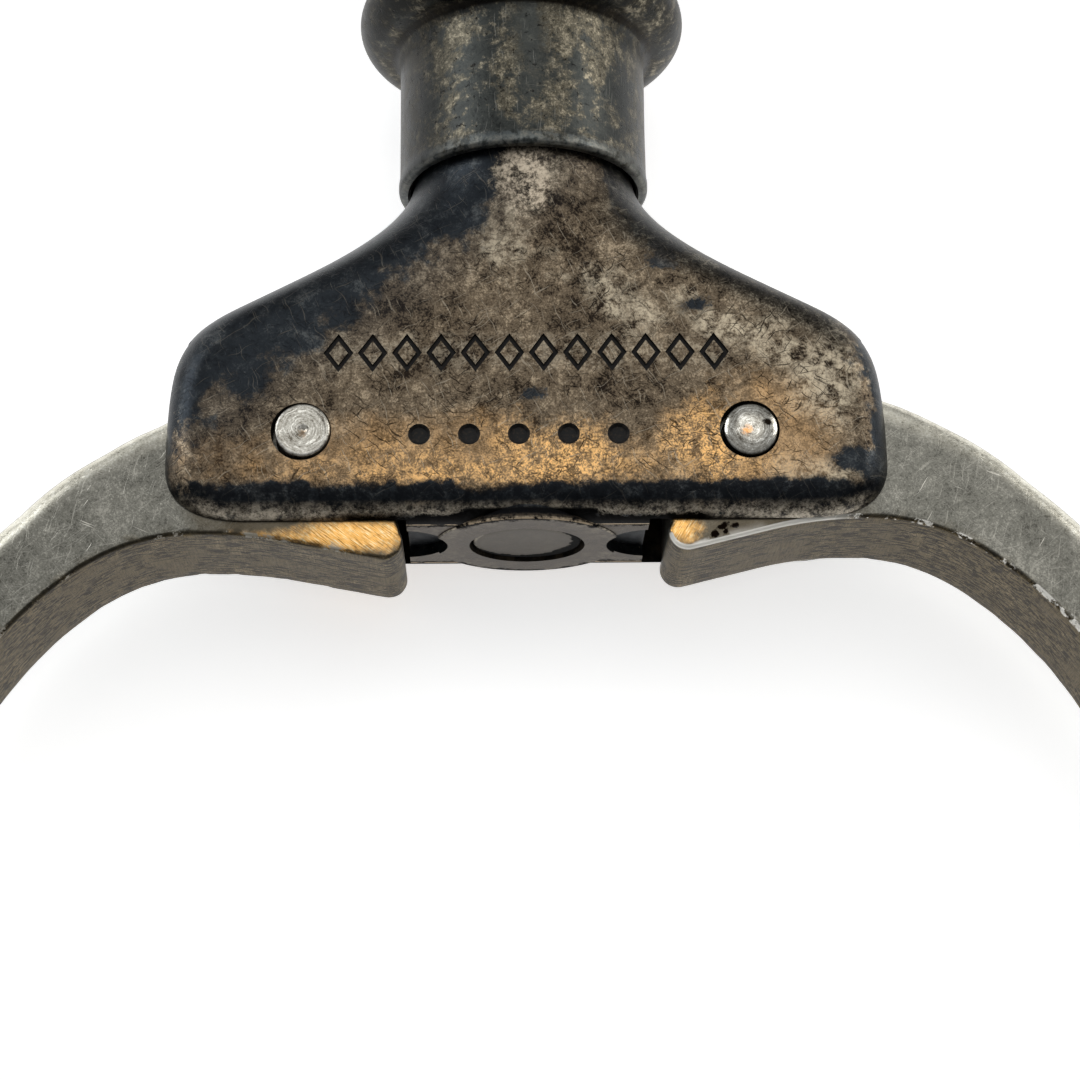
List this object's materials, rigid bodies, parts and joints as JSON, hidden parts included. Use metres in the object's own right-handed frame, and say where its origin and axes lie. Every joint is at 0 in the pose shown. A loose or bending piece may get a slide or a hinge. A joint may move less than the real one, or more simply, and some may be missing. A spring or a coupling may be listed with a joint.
{
  "type": "t-handle claw nippers",
  "caption": "Hand-held claw with a T-handle: curved jaws on pivot pins close on a ratchet plunger, and pulling a collar lets them open.",
  "frame": {"origin": "centre of the casting's flat back face, midway between the two jaw pivots", "axes": "+X to the right seen from the front, +Y from the jaws to the handle, +Z out of the front face"},
  "size_m": [0.1326, 0.186, 0.0332],
  "materials": {
    "casting_metal": "darkened nickel plate worn through to warm brown metal, rubbed bright on the right side",
    "collar_metal": "blue-grey darkened nickel plate with patches worn pale",
    "jaw_metal": "satin nickel plate with crossed hand-polishing scratches",
    "pin_metal": "bare steel, faced and peened",
    "works_metal": "oiled dark steel",
    "plunger_metal": "turned steel, tarnished warm grey",
    "spring_metal": "drawn spring wire",
    "handle_metal": "darkened nickel plate, worn pale where the hand rubs",
    "fastener_metal": "satin nickel plate"
  },
  "bodies": {
    "frame": {"body_casting": "casting_metal", "pivot_pin_right": "pin_metal", "pivot_pin_left": "pin_metal", "pawl_pin_right": "works_metal", "pawl_pin_left": "works_metal", "pawl_spring_right": "spring_metal", "pawl_spring_left": "spring_metal", "handle_stem": "handle_metal", "return_spring": "spring_metal", "spring_ferrule": "handle_metal", "collar_spring": "spring_metal", "grip_bar": "handle_metal", "grip_cap_right": "handle_metal", "grip_cap_left": "handle_metal", "grip_washer": "fastener_metal", "dome_nut": "fastener_metal"},
    "right_jaw": {"jaw_right": "jaw_metal"},
    "left_jaw": {"jaw_left": "jaw_metal"},
    "plunger": {"plunger": "plunger_metal"},
    "collar": {"release_collar": "collar_metal"},
    "right_pawl": {"pawl_right": "works_metal"},
    "left_pawl": {"pawl_left": "works_metal"}
  },
  "joints": [
    {"name": "right_jaw_pivot", "type": "hinge", "parent": "frame", "child": "right_jaw", "pos_m": [0.02115, 0, 0.0098], "axis": [0, 0, 1], "range_deg": [0, 24]},
    {"name": "left_jaw_pivot", "type": "hinge", "parent": "frame", "child": "left_jaw", "pos_m": [-0.02115, 0, 0.0098], "axis": [0, 0, -1], "range_deg": [0, 24]},
    {"name": "plunger_slide", "type": "slide", "parent": "frame", "child": "plunger", "axis": [0, -1, 0], "range_m": [0, 0.00705], "deforming": ["return_spring"]},
    {"name": "collar_slide", "type": "slide", "parent": "frame", "child": "collar", "axis": [0, 1, 0], "range_m": [0, 0.005], "stiffness_N_per_m": 400, "springref_m": -0.008, "deforming": ["collar_spring"]},
    {"name": "right_pawl_pivot", "type": "hinge", "parent": "frame", "child": "right_pawl", "pos_m": [0.008, 0.0385, 0.0098], "axis": [0, 0, 1], "range_deg": [0, 8.2], "deforming": ["pawl_spring_right"]},
    {"name": "left_pawl_pivot", "type": "hinge", "parent": "frame", "child": "left_pawl", "pos_m": [-0.008, 0.0385, 0.0098], "axis": [0, 0, -1], "range_deg": [0, 8.2], "deforming": ["pawl_spring_left"]}
  ],
  "couplings": [
    {"joint": "left_jaw_pivot", "follows": "right_jaw_pivot", "ratio": 1},
    {"joint": "plunger_slide", "follows": "right_jaw_pivot", "m_per_rad": 0.01678},
    {"joint": "right_pawl_pivot", "follows": "collar_slide", "rad_per_m": 28.5},
    {"joint": "left_pawl_pivot", "follows": "collar_slide", "rad_per_m": 28.5}
  ]
}
